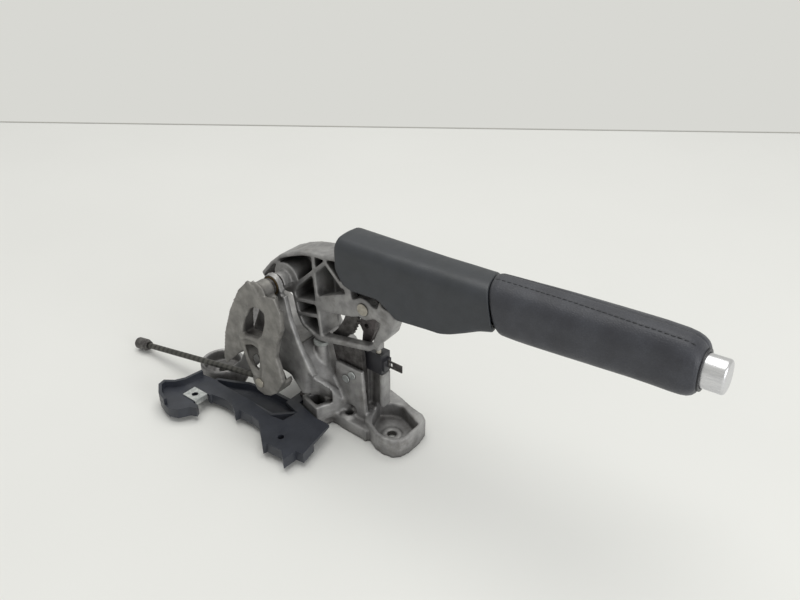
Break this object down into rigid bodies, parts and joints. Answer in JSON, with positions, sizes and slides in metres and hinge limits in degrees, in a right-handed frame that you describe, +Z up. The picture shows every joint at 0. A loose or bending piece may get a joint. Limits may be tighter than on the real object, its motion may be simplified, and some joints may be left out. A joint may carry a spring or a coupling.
{
  "type": "parking brake lever",
  "caption": "Hand parking brake lever with a leather grip, push button, cast bracket, ratchet and cable lever.",
  "frame": {"origin": "front fixing hole of the bracket, at floor level", "axes": "+X along the grip, +Z up, -Y the side of the cable lever"},
  "size_m": [0.4724, 0.1512, 0.1706],
  "materials": {
    "casting": "bead blasted casting",
    "dark_steel": "phosphated",
    "zinc_steel": "zinc plated",
    "bronze_bush": "sintered",
    "buffer_rubber": "matt",
    "black_plastic": "matt",
    "grained_plastic": "fine grain",
    "grip_leather": "fine grain",
    "satin_chrome": "satin",
    "pale_plastic": "matt"
  },
  "bodies": {
    "base": {"base_bracket": "casting", "ratchet_sector": "dark_steel", "sector_rivets": "zinc_steel", "pivot_bushes": "bronze_bush", "stop_buffer": "buffer_rubber", "warning_switch": "black_plastic", "switch_terminal": "dark_steel", "switch_screw": "zinc_steel", "console_bracket": "grained_plastic", "clip_nut": "zinc_steel", "console_screw": "dark_steel"},
    "lever": {"lever_arm": "casting", "pivot_shaft": "dark_steel", "pivot_sleeve": "dark_steel", "shaft_clip": "zinc_steel", "cable_lever": "casting", "cable_pin": "zinc_steel", "cable_pin_clip": "zinc_steel", "pawl_pin": "zinc_steel", "pawl_pin_clip": "zinc_steel", "handle_tube": "dark_steel", "grip_core": "black_plastic", "grip_sleeve": "grip_leather", "nose_ring": "black_plastic", "button_guide": "black_plastic", "shroud_cover": "grained_plastic", "cover_pegs": "dark_steel"},
    "button": {"push_button": "satin_chrome", "release_rod": "zinc_steel", "rod_link_pin": "zinc_steel", "button_spring": "zinc_steel"},
    "pawl": {"pawl": "dark_steel"},
    "pull_rod": {"cable_rod": "dark_steel", "rod_nut": "dark_steel"},
    "plunger": {"switch_plunger": "pale_plastic"}
  },
  "joints": [
    {"name": "lever_pull", "type": "hinge", "parent": "base", "child": "lever", "pos_m": [-0.09, 0, 0.113], "axis": [0, -1, 0], "range_deg": [0, 36]},
    {"name": "button_press", "type": "slide", "parent": "lever", "child": "button", "axis": [-0.999, 0, -0.0436], "range_m": [-0.00258, 0.0035], "stiffness_N_per_m": 300},
    {"name": "pawl_lift", "type": "hinge", "parent": "lever", "child": "pawl", "pos_m": [-0.016, 0, 0.1135], "axis": [0, -1, 0], "range_deg": [-4.5, 6.5]},
    {"name": "rod_swing", "type": "hinge", "parent": "lever", "child": "pull_rod", "pos_m": [-0.09353, -0.036, 0.0345], "axis": [0, 1, 0], "range_deg": [0, 36]},
    {"name": "switch_press", "type": "slide", "parent": "base", "child": "plunger", "axis": [0, 0, -1], "range_m": [0, 0.002], "stiffness_N_per_m": 200}
  ],
  "couplings": [
    {"joint": "pawl_lift", "follows": "button_press", "rad_per_m": 29.8},
    {"joint": "rod_swing", "follows": "lever_pull", "ratio": 1}
  ]
}
